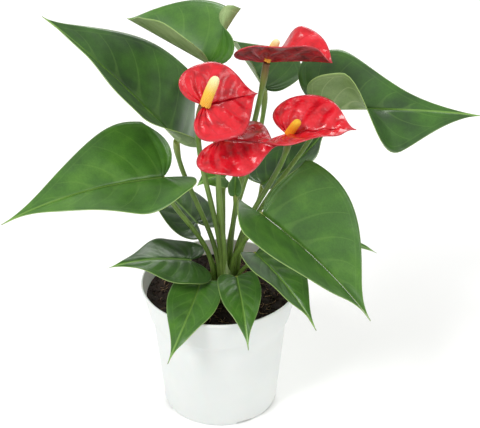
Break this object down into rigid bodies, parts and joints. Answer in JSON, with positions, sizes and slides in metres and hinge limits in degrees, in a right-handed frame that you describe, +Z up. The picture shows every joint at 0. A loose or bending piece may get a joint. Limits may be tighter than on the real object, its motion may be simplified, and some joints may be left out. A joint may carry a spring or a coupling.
{
  "type": "potted anthurium",
  "caption": "Potted anthurium: heart-shaped green leaves and waxy red spathes with yellow spadices on arching stalks, in a plain white tapered nursery pot.",
  "frame": {"origin": "centre of the pot's underside", "axes": "+Z up; +X to the side the larger flowers lean towards; -Y is the front, from which the spathes face the viewer"},
  "size_m": [0.3431, 0.2003, 0.3179],
  "materials": {
    "pot_plastic": "satin white polypropylene",
    "peat": "damp loose peat, rough",
    "leaf_green": "waxy satin leaf",
    "stalk_green": "smooth satin stalk",
    "spathe_red": "glossy waxy red",
    "spadix_yellow": "matte, finely beaded",
    "dry_husk": "dry brown plant tissue"
  },
  "bodies": {
    "root": {"pot": "pot_plastic", "soil": "peat", "crown_stem": "stalk_green", "leaf_upper_left": "leaf_green", "petiole_upper_left": "stalk_green", "leaf_left": "leaf_green", "petiole_left": "stalk_green", "leaf_top": "leaf_green", "petiole_top": "stalk_green", "leaf_back_centre": "leaf_green", "petiole_back_centre": "stalk_green", "leaf_upper_right": "leaf_green", "petiole_upper_right": "stalk_green", "leaf_right": "leaf_green", "petiole_right": "stalk_green", "leaf_back_right": "leaf_green", "petiole_back_right": "stalk_green", "leaf_back_left": "leaf_green", "petiole_back_left": "stalk_green", "leaf_low_left": "leaf_green", "petiole_low_left": "stalk_green", "leaf_front_left": "leaf_green", "petiole_front_left": "stalk_green", "leaf_front_centre": "leaf_green", "petiole_front_centre": "stalk_green", "leaf_low_right": "leaf_green", "petiole_low_right": "stalk_green", "leaf_low_back": "leaf_green", "petiole_low_back": "stalk_green", "leaf_young": "leaf_green", "petiole_young": "stalk_green", "leaf_bud": "leaf_green", "petiole_bud": "stalk_green", "spathe_left": "spathe_red", "peduncle_left": "stalk_green", "spadix_left": "spadix_yellow", "spathe_top": "spathe_red", "peduncle_top": "stalk_green", "spadix_top": "spadix_yellow", "spathe_right": "spathe_red", "peduncle_right": "stalk_green", "spadix_right": "spadix_yellow", "spathe_low": "spathe_red", "peduncle_low": "stalk_green", "spadix_low": "spadix_yellow", "sheath_front": "stalk_green", "sheath_dry": "dry_husk", "dry_root": "dry_husk"}
  },
  "joints": []
}
